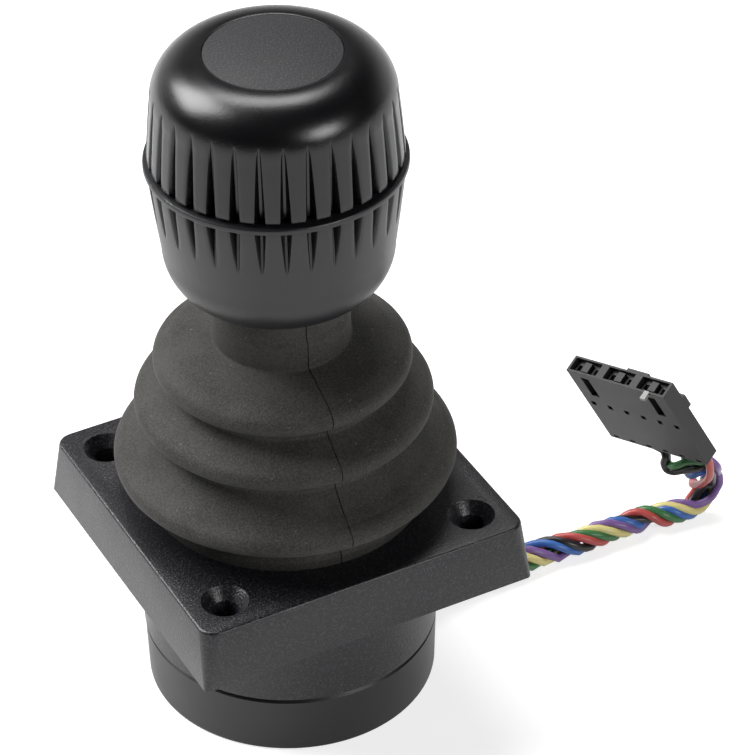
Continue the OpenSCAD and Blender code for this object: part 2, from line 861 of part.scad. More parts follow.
flange_housing();
bottom_cup();
housing_seal();
cup_screws();
travel_limiter_plate();
trunnion_bushes();
sensor_board();
sensor_chips();
board_screws();
board_terminal();
boot();
boot_clamp_ring();
clamp_ring_screws();
spring_seat();
centring_spring();
cable_grommet();
wire_harness();
connector_housing();
connector_contacts();
connector_key();
gimbal_ring();
pivot_hub();
inner_pivot_pin();
stick_shaft();
magnet_holder();
tilt_magnet();
spring_collar();
collar_clip();
handle_core();
core_pin();
thrust_washer();
knob_retaining_ring();
twist_sensor_board();
twist_sensor_chip();
lower_knob_shell();
upper_knob_shell();
crown_disc();
shell_screws();
crown_screw();
twist_magnet_carrier();
twist_magnet();
twist_return_spring();
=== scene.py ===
"""Looks of a fingertip joystick: fluted two-part knob, rubber boot, square flange and wire harness.

Every size is in metres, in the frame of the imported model, whose solids carry the mechanism.
"""

import json
import math

import bmesh
import bpy
from mathutils import Euler, Matrix, Vector


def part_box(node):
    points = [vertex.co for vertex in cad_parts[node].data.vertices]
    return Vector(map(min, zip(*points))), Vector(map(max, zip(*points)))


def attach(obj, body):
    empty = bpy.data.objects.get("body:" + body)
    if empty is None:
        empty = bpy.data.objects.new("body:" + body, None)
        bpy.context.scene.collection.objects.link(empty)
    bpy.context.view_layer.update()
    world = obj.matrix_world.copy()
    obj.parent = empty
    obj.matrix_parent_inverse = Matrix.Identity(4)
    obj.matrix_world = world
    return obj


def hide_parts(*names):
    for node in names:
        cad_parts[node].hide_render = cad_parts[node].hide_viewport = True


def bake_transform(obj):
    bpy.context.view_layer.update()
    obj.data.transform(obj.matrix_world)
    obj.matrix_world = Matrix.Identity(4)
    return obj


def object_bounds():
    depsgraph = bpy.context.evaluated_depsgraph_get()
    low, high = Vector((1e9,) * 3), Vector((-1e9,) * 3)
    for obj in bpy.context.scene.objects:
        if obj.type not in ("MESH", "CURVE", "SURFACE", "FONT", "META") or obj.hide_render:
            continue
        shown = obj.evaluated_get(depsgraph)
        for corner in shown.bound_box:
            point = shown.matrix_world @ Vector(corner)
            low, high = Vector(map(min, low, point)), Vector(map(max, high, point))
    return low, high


bl_info = {
    "name": "Fingertip joystick",
    "version": (1, 0, 0),
    "blender": (4, 5, 0),
    "location": "View3D > Sidebar > Joystick",
    "description": "Dresses the joystick's mechanism with its knob, boot, housing and harness",
    "category": "Add Mesh",
}

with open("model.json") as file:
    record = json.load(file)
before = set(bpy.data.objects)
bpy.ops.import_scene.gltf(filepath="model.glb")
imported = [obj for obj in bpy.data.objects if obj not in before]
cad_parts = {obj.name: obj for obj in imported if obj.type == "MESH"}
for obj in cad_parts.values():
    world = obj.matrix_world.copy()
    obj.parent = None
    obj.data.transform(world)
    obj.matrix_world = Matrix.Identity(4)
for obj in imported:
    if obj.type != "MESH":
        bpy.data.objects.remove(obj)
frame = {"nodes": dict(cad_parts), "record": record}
CAD_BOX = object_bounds()
MM = 0.001

# Boxes of the solids that the pieces stand for
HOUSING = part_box("flange_housing")
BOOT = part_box("boot")
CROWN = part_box("crown_disc")

# Flange: its thickness, how much it narrows towards its top, and how far its holes are from the middle
FLANGE_T = 7.3 * MM
FLANGE_TOP = HOUSING[1].z
UNDERSIDE = FLANGE_TOP - FLANGE_T
FLANGE_DRAFT = 39.2 / 40.2
FLANGE_FOOT_EDGE = 0.08 * MM
HOLE_AT = 15.1 * MM

# The flange's corners are drafted: rounder at the top than at the foot
CORNER_TOP = 2 * MM
CORNER_FOOT = 0.6 * MM

# Outlines of (radius, height) in millimetres. A skirt at the drum's foot leaves a thin gap above the cup.
DRUM = [(0.0001, 7.9), (16.15, 7.9), (16.15, 7.62), (16.5, 7.62), (16.67, 7.7), (16.7, 7.9),
        (16.7, 19.5), (0.0001, 19.5)]
BORE = [(0.0001, 6), (15, 6), (15, 23), (7.3, 23), (7.3, 27), (0.0001, 27)]
SCREW_HOLE = [(0.0001, 16), (1.4, 16), (1.4, 24.25), (1.44, 24.33), (2.62, 25.51), (2.75, 26), (0.0001, 26)]

# Connector: centre, turn, and size along its width, thickness and length
PLUG_POS = Vector((46.4, 0, 18.1)) * MM
PLUG_TURN = Euler([math.radians(a) for a in (24.6, -12.6, -70.5)])
PLUG_SIZE = Vector((14.8, 2.2, 13.3)) * MM
PLUG = Matrix.LocRotScale(PLUG_POS, PLUG_TURN, None)
PLUG_EDGE = 0.06 * MM
PITCH = 2.54 * MM
WAYS = 6

# Route of the bundle from the grommet to where the wires part, in millimetres
ROUTE = [
    (16, 0, 4.6), (19.4, 0, 4.6), (21.5, 0, 4.2), (24, 0, 3.2),
    (27, 0, 2.1), (30, 0, 1.7), (33.5, 0.2, 1.6), (38, -0.3, 1.6), (42.5, -0.2, 1.6),
    (46.5, -0.2, 1.6), (50, -0.8, 1.6), (53.4, -1, 1.7), (55.8, -1, 2.4),
    (57.2, -1, 4), (57, -0.9, 5.9), (55.3, -0.8, 7), (53, -0.7, 7.7),
]

# The bundle rises by this much over a stretch near its end, where the wires bunch up (in millimetres)
BUNCH_RISE = 1.3
BUNCH_START = 38
BUNCH_LENGTH = 4

# Angle in degrees round the bundle, from straight up, of its front, from which a wire's turns are counted
FRONT = 50

# How each wire lies in the bundle: (run in millimetres, turns past the front, lay radius in millimetres)
LAY = {
    "blue": [
        (0, -1.38, 1), (8, -0.8, 1), (14.5, -0.4, 1.3), (19.9, 0, 1.1), (29.5, 1, 1),
        (32.2, 1.45, 0.3), (35.3, 2, 1.05), (40, 2.45, 1), (43.5, 2.7, 0.9)],
    "black": [
        (0, -1.55, 1), (8, -0.97, 1), (14.5, -0.57, 1.3), (21.3, 0, 1.1), (28, 0.7, 0.9),
        (31, 1, 0.35), (37, 1.55, 0.35), (41, 1.9, 0.9), (43.5, 2.05, 0.9)],
    "red": [
        (0, -1.71, 1), (8, -1.13, 1), (14.5, -0.73, 1.3), (23.3, 0, 1.1), (28, 0.5, 0.95),
        (32.4, 1, 1.2), (36, 1.4, 1), (39.6, 1.72, 1.1)],
    "green": [
        (0, -1.88, 1), (8, -1.3, 1), (14.5, -0.9, 1.3), (24.9, 0, 0.95), (29, 0.45, 1),
        (33.9, 1, 1.15), (40, 1.6, 0.9), (43.5, 1.85, 0.8)],
    "yellow": [
        (0, -2.05, 1), (8, -1.47, 1), (14.5, -1.07, 1.4), (26.5, 0, 1.1), (31, 0.45, 1),
        (36.5, 1, 1.15), (41, 1.35, 1), (44, 1.5, 0.8)],
    "violet": [
        (0, -2.21, 1), (8, -1.63, 1), (14.5, -1.23, 1.3), (28.3, 0, 1.2), (33, 0.5, 0.95),
        (38, 1, 1.15), (42.5, 1.2, 1.1), (45, 1.25, 1.1)],
}

# Each wire's way from the bundle's end to its contact: (across, behind, up) in the connector, in
# millimetres
ENDS = {
    "green": [
        (3.9, 2, -12.4), (3.6, 0.8, -10), (2, 0.3, -9.9), (0.6, -0.4, -10.3), (-0.5, -0.5, -10.7),
        (-1.2, -0.2, -10.6), (-1.3, 0.3, -9.9), (-1.6, 0.8, -9.2), (-2.4, 1.1, -8.5),
        (-4.4, 1.1, -8.1), (-6.2, 0.5, -7.6)],
    "black": [
        (3.6, 1.2, -12.8), (4, 0.9, -10.9), (2.9, 0, -10.6), (0.9, -0.5, -11.1), (-0.3, -0.8, -11.4),
        (-1.1, -0.9, -11.1), (-1.3, -0.6, -10.3), (-1, -0.2, -9.6), (-1.4, 0.3, -9),
        (-2.4, 0.3, -8.4), (-3.6, 0.3, -7.5)],
    "blue": [
        (3, 1.6, -13), (2.4, 0.6, -12.3), (1, 0.2, -13), (0.2, 0.5, -13), (-0.1, 1.2, -12.2),
        (0, 1.5, -10.8), (-0.6, 1.3, -9.2), (-1.2, 0.6, -7.7)],
    "yellow": [(2.6, 2.2, -13), (2.4, 1.5, -9.8), (1.4, 0.3, -7.8)],
    "violet": [(5.4, 1.2, -10.8), (4.8, 1, -9), (3.85, 0.2, -7.7)],
    "red": [
        (-0.9, 1.2, -16.2), (-0.2, 0.4, -15.6), (1.6, 0, -14.4), (3.6, -0.2, -12.6), (5.2, -0.3, -10.8),
        (6, -0.2, -9.2), (6.35, 0, -7.8)],
}

# Insulation colours in the order of the contacts
WIRE_COLOURS = {
    "green": "#3F7444", "black": "#232124", "blue": "#3E69B0",
    "yellow": "#DDD18A", "violet": "#7B5C97", "red": "#B9504C",
}

# Base colours that a user can change
HOUSING_COLOUR = "#0C0C0F"
DOME_COLOUR = "#09090B"
BOWL_COLOUR = "#1A1A1D"
BOOT_COLOUR = "#403F3D"


def linear(colour):
    """Linear RGBA of an sRGB hex colour."""
    levels = [int(colour[i:i + 2], 16) / 255 for i in (1, 3, 5)]
    return [c / 12.92 if c <= 0.04045 else ((c + 0.055) / 1.055) ** 2.4 for c in levels] + [1]


# ---------- sizes and colours a user would change ----------

def colour_choice(name, description, colour):
    return bpy.props.FloatVectorProperty(
        name=name, description=description, default=linear(colour), size=4, subtype="COLOR", min=0, max=1)


class JoystickSizes(bpy.types.PropertyGroup):
    flange_edge: bpy.props.FloatProperty(
        name="Flange edge", description="Rounding of the flange's top edge",
        default=0.3 * MM, min=0.1 * MM, max=0.6 * MM, unit="LENGTH", precision=5)
    rib_edge: bpy.props.FloatProperty(
        name="Rib edge", description="Rounding of the knob's ribs along the flutes",
        default=0.07 * MM, min=0.01 * MM, max=0.2 * MM, unit="LENGTH", precision=5)
    wire_d: bpy.props.FloatProperty(
        name="Wire", description="Diameter of one insulated wire",
        default=0.96 * MM, min=0.6 * MM, max=1 * MM, unit="LENGTH", precision=5)
    looseness: bpy.props.FloatProperty(
        name="Looseness", description="How far the wires lie from the middle of the bundle",
        default=1, min=0.9, max=1.3)
    view_angle: bpy.props.FloatProperty(
        name="View", description="Direction of the camera round the joystick",
        default=math.radians(-27.58), subtype="ANGLE")
    housing_colour: colour_choice("Housing", "Plastic of the flange and housing", HOUSING_COLOUR)
    dome_colour: colour_choice("Dome", "Plastic of the knob's upper shell", DOME_COLOUR)
    bowl_colour: colour_choice("Bowl", "Plastic of the knob's lower shell", BOWL_COLOUR)
    boot_colour: colour_choice("Boot", "Rubber of the boot", BOOT_COLOUR)


# ---------- modelling ----------

def deselect():
    bpy.ops.object.select_all(action="DESELECT")


def take(obj):
    """Makes one object the only one selected, and the active one."""
    deselect()
    bpy.context.view_layer.objects.active = obj
    obj.select_set(True)


def object_mode():
    bpy.ops.object.mode_set(mode="OBJECT")


def named(name):
    """The primitive just added, under its own name, with its place and size in its mesh."""
    obj = bpy.context.object
    obj.name = name
    obj.data.name = name
    bpy.ops.object.transform_apply(location=True, rotation=True, scale=True)
    return obj


def edit_part(obj, kind, test):
    """Enters edit mode with only the vertices, edges or faces selected that pass the test."""
    take(obj)
    bpy.ops.object.mode_set(mode="EDIT")
    bpy.context.tool_settings.mesh_select_mode = (kind == "verts", kind == "edges", kind == "faces")
    bpy.ops.mesh.select_all(action="DESELECT")
    mesh = bmesh.from_edit_mesh(obj.data)
    for part in getattr(mesh, kind):
        if test(part):
            part.select_set(True)
    mesh.select_flush_mode()
    bmesh.update_edit_mesh(obj.data)


def is_upright(edge):
    return abs(edge.verts[0].co.z - edge.verts[1].co.z) > 1 * MM


def lies_at(edge, z):
    return all(abs(v.co.z - z) < 0.01 * MM for v in edge.verts)


def smooth(obj, degrees=30):
    take(obj)
    bpy.ops.object.shade_smooth_by_angle(angle=math.radians(degrees))


def in_metres(outline):
    return [(r * MM, z * MM) for r, z in outline]


def turned(name, outline, steps, closed=True):
    """A turned form: a ring that is extruded and resized along an outline of (radius, height)."""
    deselect()
    radius, height = outline[0]
    bpy.ops.mesh.primitive_circle_add(vertices=steps, radius=radius, location=(0, 0, height))
    obj = named(name)
    bpy.ops.object.mode_set(mode="EDIT")
    for r, z in outline[1:] + outline[:1] * closed:
        bpy.ops.mesh.extrude_region_move(TRANSFORM_OT_translate={"value": (0, 0, z - height)})
        bpy.ops.transform.resize(value=(r / radius, r / radius, 1), center_override=(0, 0, 0))
        radius, height = r, z
    object_mode()
    return closed_up(obj)


def closed_up(obj):
    """Merges the ends of a turned form and points its faces outwards."""
    edit_part(obj, "verts", lambda v: True)
    bpy.ops.mesh.remove_doubles(threshold=0.001 * MM)
    bpy.ops.mesh.normals_make_consistent(inside=False)
    object_mode()
    return obj


def rounded(corners, steps):
    """Outline in metres through (radius, height, rounding) corners in millimetres."""
    points = []
    for i, (r, z, rounding) in enumerate(corners):
        b = Vector((r, z))
        if not rounding:
            points.append(b * MM)
            continue
        back = (Vector(corners[i - 1][:2]) - b).normalized()
        ahead = (Vector(corners[(i + 1) % len(corners)][:2]) - b).normalized()
        half = back.angle(ahead) / 2
        centre = b + (back + ahead).normalized() * rounding / math.sin(half)
        start = b + back * rounding / math.tan(half) - centre
        end = b + ahead * rounding / math.tan(half) - centre
        sweep = start.angle_signed(end)
        for k in range(steps + 1):
            points.append((centre + Matrix.Rotation(-sweep * k / steps, 2) @ start) * MM)
    return [(p.x, p.y) for p in points]


def finished_with(obj, kind, settings):
    """Gives an object one modifier with its settings and applies it."""
    take(obj)
    change = obj.modifiers.new(kind.lower(), kind)
    for key, value in settings.items():
        setattr(change, key, value)
    bpy.ops.object.modifier_apply(modifier=change.name)
    return obj


def carve(obj, tool, operation="DIFFERENCE"):
    """Cuts the tool out of the piece, or joins it on, and removes the tool."""
    finished_with(obj, "BOOLEAN", {"operation": operation, "solver": "EXACT", "object": tool})
    bpy.data.objects.remove(tool)
    return obj


def block(name, low, high):
    """A box between two corners in millimetres."""
    deselect()
    low, high = Vector(low) * MM, Vector(high) * MM
    bpy.ops.mesh.primitive_cube_add(size=1, location=(low + high) / 2, scale=high - low)
    return named(name)


def dress(obj, body, slot, material, *nodes):
    """Gives a finished piece its material and its body, and hides the solids it stands for. Its slot is not
    used.
    """
    obj.data.materials.clear()
    obj.data.materials.append(material)
    if body:
        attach(obj, body)
    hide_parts(*nodes)
    return obj


# ---------- materials ----------

def add(tree, kind, settings=None, links=None):
    """Adds a node, with its settings and with links from other sockets to its inputs."""
    node = tree.nodes.new(kind)
    for key, value in (settings or {}).items():
        if isinstance(key, str) and hasattr(node, key):
            setattr(node, key, value)
        else:
            node.inputs[key].default_value = value
    for key, socket in (links or {}).items():
        tree.links.new(socket, node.inputs[key])
    return node


def surface(name, colour, roughness, settings=None):
    """A new material: its node tree, its shader and the place in the object's own coordinates."""
    material = bpy.data.materials.new(name)
    material.use_nodes = True
    tree = material.node_tree
    shader = tree.nodes["Principled BSDF"]
    shader.inputs["Base Color"].default_value = colour
    shader.inputs["Roughness"].default_value = roughness
    for key, value in (settings or {}).items():
        shader.inputs[key].default_value = value
    place = add(tree, "ShaderNodeTexCoord").outputs["Object"]
    return material, tree, shader, place


def moulded(name, colour, roughness, grain, height, crest=None):
    """Injection-moulded plastic: the mould's grain, its paler crests, and a gloss that varies slowly.

    Grain width and height are in millimetres. A real grain is 0.03 to 0.1 mm wide. It is drawn
    coarser, so that it shows.
    """
    material, tree, shader, place = surface(name, colour, roughness)
    fine = add(tree, "ShaderNodeTexNoise", {"Scale": 1 / (grain * MM), "Detail": 3}, {"Vector": place})
    wide = add(tree, "ShaderNodeTexNoise", {"Scale": 1 / (6 * MM), "Detail": 2}, {"Vector": place})
    gloss = add(tree, "ShaderNodeMapRange", {"To Min": roughness - 0.05, "To Max": roughness + 0.06},
                {"Value": wide.outputs["Fac"]})
    bump = add(tree, "ShaderNodeBump", {"Distance": height * MM, "Strength": 1},
               {"Height": fine.outputs["Fac"]})
    if crest:
        crests = add(tree, "ShaderNodeMapRange", {"From Min": 0.5, "From Max": 0.7},
                     {"Value": fine.outputs["Fac"]})
        tone = add(tree, "ShaderNodeMix", {"data_type": "RGBA", 6: colour, 7: linear(crest)},
                   {0: crests.outputs["Result"]})
        tree.links.new(tone.outputs[2], shader.inputs["Base Color"])
    tree.links.new(gloss.outputs["Result"], shader.inputs["Roughness"])
    tree.links.new(bump.outputs["Normal"], shader.inputs["Normal"])
    return material


def plated(name, colour, roughness, streak):
    """Metal with drawn or rolled streaks along X in its gloss.

    The width of a streak is in millimetres. Real streaks are finer and are drawn this wide, so that
    they show.
    """
    material, tree, shader, place = surface(name, colour, roughness, {"Metallic": 1})
    stretched = add(tree, "ShaderNodeMapping", {"Scale": (0.08, 1, 1)}, {"Vector": place})
    lines = add(tree, "ShaderNodeTexNoise", {"Scale": 1 / (streak * MM), "Detail": 2},
                {"Vector": stretched.outputs["Vector"]})
    gloss = add(tree, "ShaderNodeMapRange", {"To Min": roughness - 0.08, "To Max": roughness + 0.1},
                {"Value": lines.outputs["Fac"]})
    tree.links.new(gloss.outputs["Result"], shader.inputs["Roughness"])
    return material


def moulded_rubber(name, colour, roughness):
    """Moulded nitrile rubber: a dry, dull skin, mottled by its grain and a soft bloom, with some dust."""
    material, tree, shader, place = surface(name, colour, roughness, {
        "Specular IOR Level": 0.3, "Sheen Weight": 0.04, "Sheen Roughness": 0.5})
    # The skin's grain is about 0.05 mm and is drawn four times as wide, so that it shows
    grain = add(tree, "ShaderNodeTexNoise", {"Scale": 1 / (0.2 * MM), "Detail": 2}, {"Vector": place})
    bloom = add(tree, "ShaderNodeTexNoise", {"Scale": 1 / (5 * MM), "Detail": 3}, {"Vector": place})
    dust = add(tree, "ShaderNodeTexNoise", {"Scale": 1 / (0.45 * MM), "Detail": 2}, {"Vector": place})
    specks = add(tree, "ShaderNodeMapRange", {"From Min": 0.7, "From Max": 0.78, "To Max": 0.35},
                 {"Value": dust.outputs["Fac"]})
    mottle = add(tree, "ShaderNodeMath", {"operation": "MULTIPLY_ADD", 1: 2, 2: -0.75},
                 {0: grain.outputs["Fac"]})
    patch = add(tree, "ShaderNodeMath", {"operation": "ADD"}, {0: mottle.outputs[0], 1: bloom.outputs["Fac"]})
    spread = add(tree, "ShaderNodeMapRange", {"From Min": 0.45, "From Max": 1.05},
                 {"Value": patch.outputs[0]})
    tone = add(tree, "ShaderNodeMix", {"data_type": "RGBA", 6: linear("#2A2927"), 7: colour},
               {0: spread.outputs["Result"]})
    dusty = add(tree, "ShaderNodeMix", {"data_type": "RGBA", 7: linear("#8C8A84")},
                {0: specks.outputs["Result"], 6: tone.outputs[2]})
    bump = add(tree, "ShaderNodeBump", {"Distance": 0.03 * MM, "Strength": 1},
               {"Height": grain.outputs["Fac"]})
    tree.links.new(dusty.outputs[2], shader.inputs["Base Color"])
    tree.links.new(bump.outputs["Normal"], shader.inputs["Normal"])
    return material


def insulation(name, colour):
    """PVC insulation: extruded, with a soft gloss and a faint ripple along the wire."""
    material, tree, shader, place = surface("PVC insulation, " + name, linear(colour), 0.34, {
        "Subsurface Weight": 0.05, "Subsurface Scale": 0.4 * MM})
    ripple = add(tree, "ShaderNodeTexNoise", {"Scale": 1 / (0.8 * MM), "Detail": 1}, {"Vector": place})
    bump = add(tree, "ShaderNodeBump", {"Distance": 0.02 * MM, "Strength": 0.6},
               {"Height": ripple.outputs["Fac"]})
    tree.links.new(bump.outputs["Normal"], shader.inputs["Normal"])
    return material


# Per slot: name, colour, roughness, the grain's width and height in millimetres, and the colour of its
# crests where they are paler
PLASTICS = {
    # Spark-eroded mould: near black, with fine pale crests that sparkle where the light grazes them
    "housing_plastic": ("glass-filled nylon, spark-eroded", HOUSING_COLOUR, 0.34, 0.22, 0.05, "#3C3B41"),
    # Satin mould: an even black that brightens evenly towards the light
    "cup_plastic": ("nylon, satin mould", "#151518", 0.36, 0.3, 0.006),
    # Polished mould: deep black with clear, slightly soft highlights
    "knob_upper": ("ABS, polished mould", DOME_COLOUR, 0.25, 0.16, 0.018),
    # Satin mould: a greyer black, with highlights too broad to have an edge
    "knob_plastic": ("ABS, satin mould", BOWL_COLOUR, 0.36, 0.2, 0.01),
    # Textured insert: matt, with a visible speckle
    "disc_plastic": ("ABS, fine-textured insert", "#08080A", 0.6, 0.2, 0.04, "#3A393F"),
    # Machined: plain black with a dull shine
    "core_plastic": ("nylon, turned core", "#121214", 0.4, 0.3, 0.005),
    # Thin-walled moulding: dark grey and nearly matt, so that its cut-outs read as black
    "connector_plastic": ("polyester housing, moulded", "#151418", 0.5, 0.25, 0.006),
    # The same plastic uncoloured: pale grey
    "key_plastic": ("polyester key, moulded", "#8E8D8B", 0.4, 0.3, 0.004),
    # Natural acetal: milky, waxy shine
    "bearing_plastic": ("acetal, natural", "#D9D5C6", 0.3, 0.4, 0.004),
    # Natural nylon: cream, duller than the acetal
    "terminal_plastic": ("nylon terminal, natural", "#E2DDCB", 0.4, 0.3, 0.004),
    # Lacquer over woven glass: deep green with a clear shine
    "board": ("solder-masked laminate", "#14502E", 0.3, 0.5, 0.004),
    # Filled resin: matt black
    "chip": ("epoxy chip package", "#1A1A1A", 0.6, 0.15, 0.006),
}

# Per slot: name, colour, roughness and the streak's width in millimetres
METALS = {
    # Bright bluish plating
    "steel": ("zinc-plated steel", "#B4B7BA", 0.32, 0.2),
    # Darker, with fine die lines
    "spring_steel": ("drawn spring wire", "#8F9296", 0.35, 0.1),
    # Bright, with the mill's straight lines
    "plate_steel": ("rolled stainless sheet", "#B8BABD", 0.3, 0.15),
    # Dull grey, mottled by the die
    "die_cast": ("die-cast zinc", "#9A9DA1", 0.5, 0.4),
    # Mirror-like, slightly yellow
    "magnet": ("nickel-plated magnet", "#A9A8A4", 0.25, 0.3),
    # Pale and bright, so that contacts glint inside the connector
    "contact_metal": ("tinned contact", "#C9CACB", 0.3, 0.1),
}

# Per slot: name, colour and roughness
RUBBERS = {
    # Grey-brown black that stays dull, also at its folds' edges
    "rubber": ("nitrile rubber, moulded", BOOT_COLOUR, 0.7),
    # Fresh black
    "seal_rubber": ("nitrile rubber, seal", "#141414", 0.7),
}

MATERIALS = {}


def make_materials():
    sizes = bpy.context.scene.joystick
    chosen = {"housing_plastic": sizes.housing_colour, "knob_upper": sizes.dome_colour,
              "knob_plastic": sizes.bowl_colour, "rubber": sizes.boot_colour}
    for make, group in ((moulded, PLASTICS), (plated, METALS), (moulded_rubber, RUBBERS)):
        for slot, (name, colour, *rest) in group.items():
            MATERIALS[slot] = make(name, chosen.get(slot, linear(colour)), *rest)


# ---------- harness ----------

PER_SPAN = 8


def along(points):
    """Smooth curve through the points, with PER_SPAN points to each stretch."""
    curve = []
    last = len(points) - 1
    for i in range(last):
        a, b, c, d = (points[max(0, min(last, i + k))] for k in (-1, 0, 1, 2))
        for k in range(PER_SPAN):
            t = k / PER_SPAN
            curve.append(b + (c - a) * t / 2 + (2 * a - 5 * b + 4 * c - d) * t * t / 2
                         + (3 * b - 3 * c + d - a) * t ** 3 / 2)
    curve.append(points[-1].copy())
    return curve


def bundle_frames(centre):
    """Place, direction and two crossways directions that don't twist, at each point of the line."""
    frames = []
    across = Vector((0, 0, 1))
    for i, point in enumerate(centre):
        ahead = (centre[min(i + 1, len(centre) - 1)] - centre[max(i - 1, 0)]).normalized()
        across = (across - ahead * across.dot(ahead)).normalized()
        frames.append((point, ahead, across, ahead.cross(across)))
    return frames


def wire_path(name, number, wire_d, looseness):
    """Line of one wire: twisted with the others, then parted to its own contact."""
    frames = bundle_frames(along([Vector(p) * MM for p in ROUTE]))
    runs = [0]
    for (before, *_), (after, *_) in zip(frames, frames[1:]):
        runs.append(runs[-1] + (after - before).length / MM)
    path = []
    for run, turns, radius in along([Vector(key) for key in LAY[name]]):
        i = max(k for k, r in enumerate(runs[:-1]) if r <= run)
        part = (run - runs[i]) / (runs[i + 1] - runs[i])
        point, across, aside = (frames[i][k].lerp(frames[i + 1][k], part) for k in (0, 2, 3))
        point = point + across * BUNCH_RISE * MM * min(1, max(0, (run - BUNCH_START) / BUNCH_LENGTH))
        angle = math.radians(FRONT) + 2 * math.pi * turns
        point = point + radius * looseness * MM * (math.cos(angle) * across + math.sin(angle) * aside)
        path.append(point)
    inwards = PLUG_TURN.to_matrix() @ Vector((0, 0, 1))
    contact = PLUG @ Vector(((number - (WAYS - 1) / 2) * PITCH, 0, -PLUG_SIZE.z / 2))
    ends = [PLUG @ (Vector(p) * MM) for p in ENDS[name]]
    parted = along([path[-3], path[-1]] + ends + [contact, contact + inwards * 0.8 * MM])[PER_SPAN:]
    # No wire sinks into what the harness lies on
    lowest = wire_d / 2 + 0.04 * MM
    return [Vector((p.x, p.y, max(p.z, lowest))) for p in path + parted[1:]]


def wire_tube(name, path, diameter):
    """A round wire along its path, as a curve with one open spline."""
    data = bpy.data.curves.new(name, "CURVE")
    data.dimensions = "3D"
    data.bevel_depth = diameter / 2
    data.bevel_resolution = 4
    data.use_fill_caps = True
    line = data.splines.new("POLY")
    line.points.add(len(path) - 1)
    for point, place in zip(line.points, path):
        point.co = (*place, 1)
    obj = bpy.data.objects.new(name, data)
    bpy.context.scene.collection.objects.link(obj)
    return obj


class JOYSTICK_OT_harness(bpy.types.Operator):
    """Six coloured wires, twisted from the grommet on and parted at the connector"""
    bl_idname = "joystick.harness"
    bl_label = "Wire harness"

    def execute(self, context):
        sizes = context.scene.joystick
        for number, (name, colour) in enumerate(WIRE_COLOURS.items()):
            path = wire_path(name, number, sizes.wire_d, sizes.looseness)
            wire = wire_tube("wire_" + name, path, sizes.wire_d)
            dress(wire, "base", "insulation", insulation(name, colour), "wire_harness")
        return {"FINISHED"}


# ---------- knob ----------

FLUTES = 32
FLUTE_COLUMNS = 16

# Quarter ellipses of the bowl and the dome, in millimetres: the middle's radius and height, and their reach
BOWL_R, BOWL_Z, BOWL_OUT, BOWL_DOWN = 8.05, 58.6, 4.45, 5.3
DOME_R, DOME_Z, DOME_OUT, DOME_UP = 7.6, 76.6, 5.35, 5.2

# Heights in millimetres past which the lower shell has flutes, and up to which the upper one has them
LOWER_FLUTES_FROM = 60
UPPER_FLUTES_TO = 78.3

# Cone of the flutes' roots in each shell, in millimetres: its radius at a height, and how much that
# grows over a stretch above it
LOWER_ROOT = (13.35, 60, -0.85, 8.4)
UPPER_ROOT = (12.4, 69.2, 0.32, 9)

# Section of a flute, in millimetres: half its root's width where it runs out, how much that grows until
# the flute is deep, and how far its flank leans out at the root and for each millimetre of depth
ROOT_END, ROOT_GROWTH, DEEP = 0.04, 0.09, 0.3
FLANK_FOOT, FLANK_LEAN = 0.05, 0.34


def bowl_outline():
    """Outer outline of the lower shell, from its rim, which is a thin ring, up to the lip."""
    rim = [(7.95, 52.6), (8.03, 52.63), (8.05, 52.7), (8.05, 53), (8.02, 53.08), (7.95, 53.1), (7.8, 53.12),
           (7.8, 53.28), (7.95, 53.3)]
    bowl = [(BOWL_R + BOWL_OUT * math.sin(math.radians(a)), BOWL_Z - BOWL_DOWN * math.cos(math.radians(a)))
            for a in range(0, 91, 6)]
    wall = [(12.5 + 0.6 * t, BOWL_Z + 4.6 * t) for t in (0.2, 0.4, 0.6, 0.7, 0.8, 0.85, 0.9, 0.95, 1)]
    top = [(13.1 + 0.5 * t, 63.2 + 4.4 * t) for t in (0.2, 0.4, 0.6, 0.8, 1)]
    return in_metres(rim + bowl + wall + top + [(13.62, 68.2), (13.62, 68.5)])


def dome_outline():
    """Outer outline of the upper shell, from its lower edge up to the crown."""
    wall = [(13.55, 69.75), (13.52, 70.4), (13.42, 71.7), (13.3, 73), (13.2, 74.2), (13.08, 75.4)]
    dome = [(DOME_R + DOME_OUT * math.cos(math.radians(a)), DOME_Z + DOME_UP * math.sin(math.radians(a)))
            for a in list(range(0, 30, 2)) + list(range(32, 91, 4))]
    return in_metres(wall + dome)


def root_radius(cone, z):
    """Radius of a flute's root at a height."""
    radius, foot, growth, stretch = cone
    return (radius + growth * (z / MM - foot) / stretch) * MM


